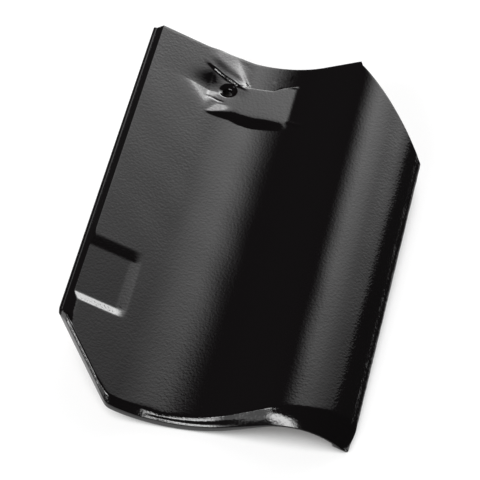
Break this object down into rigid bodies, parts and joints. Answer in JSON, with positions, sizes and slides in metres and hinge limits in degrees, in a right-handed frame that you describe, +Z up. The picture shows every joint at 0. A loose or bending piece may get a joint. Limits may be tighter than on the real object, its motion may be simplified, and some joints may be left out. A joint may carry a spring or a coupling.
{
  "type": "roof tile",
  "caption": "Black glazed clay pantile of S section with opposite corners cut away, a nail hole and a batten nib; lies in lapped rows on a roof and sheds rain.",
  "frame": {"origin": "middle of the footprint, on the ground the tile lies on", "axes": "+Y from the nose to the head, +X from the left margin to the roll's edge, +Z up"},
  "size_m": [0.2574, 0.386, 0.0699],
  "materials": {
    "glaze": "gloss"
  },
  "bodies": {
    "root": {"roof_tile": "glaze"}
  },
  "joints": []
}
